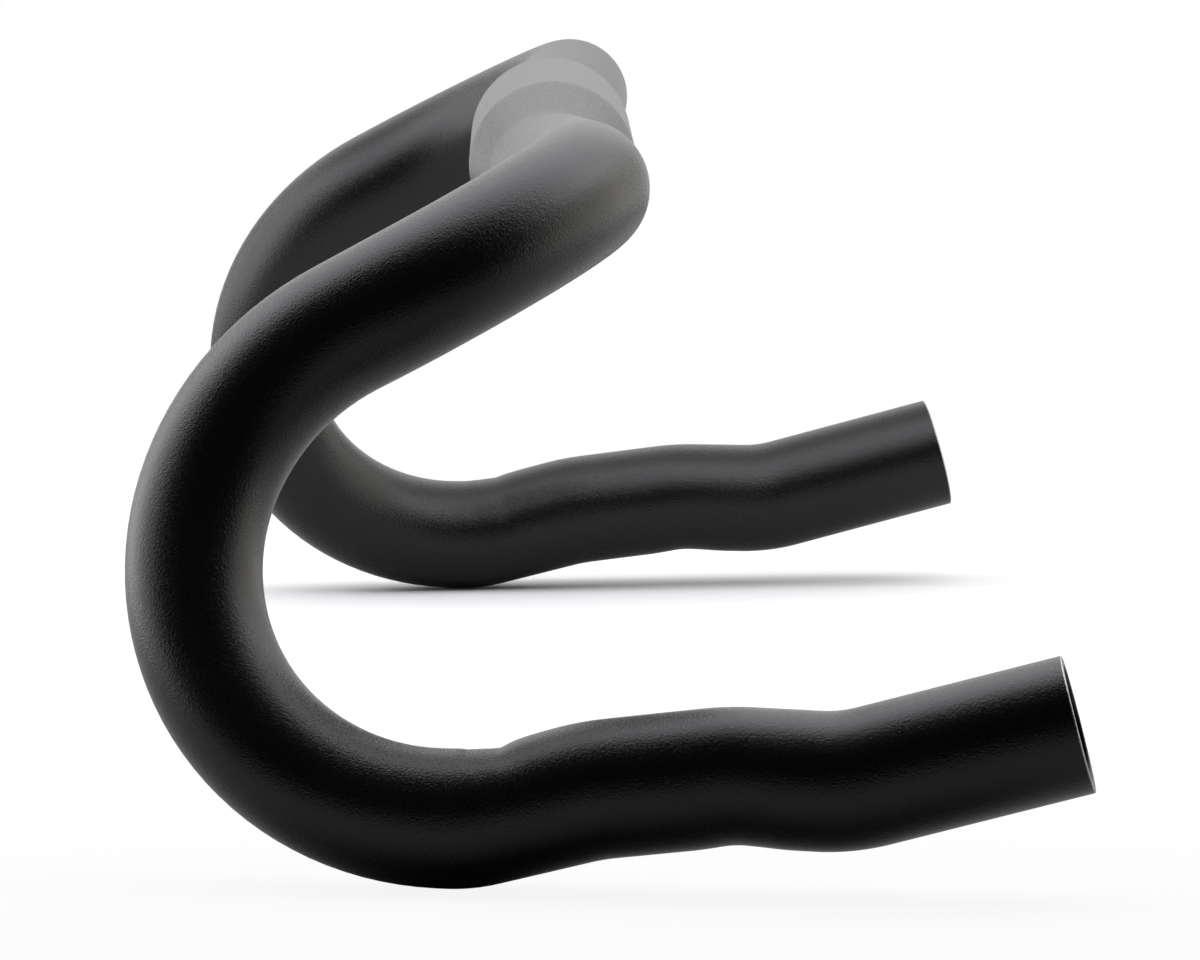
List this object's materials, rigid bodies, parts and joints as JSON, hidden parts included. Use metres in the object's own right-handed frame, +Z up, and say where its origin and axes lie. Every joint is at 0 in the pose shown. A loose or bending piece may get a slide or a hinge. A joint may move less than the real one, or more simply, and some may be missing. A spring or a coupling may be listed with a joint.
{
  "type": "gravel drop handlebar",
  "caption": "Bent aluminium tube bar with a swollen clamp zone, short ramps, round hooks and wide flared drops whose ends kick up.",
  "frame": {"origin": "middle of the clamp zone, on its axis", "axes": "+X along the clamp towards the rider's left hand, -Y towards the front of the bicycle, +Z up, in the attitude in which the picture shows the bar standing on its two hooks"},
  "size_m": [0.5458, 0.1642, 0.1269],
  "materials": {
    "blasted_black": "satin black coat over a bead-blasted, finely wrinkled surface; bare metal only on the cut faces of the two mouths"
  },
  "bodies": {
    "root": {"handlebar": "blasted_black"}
  },
  "joints": []
}
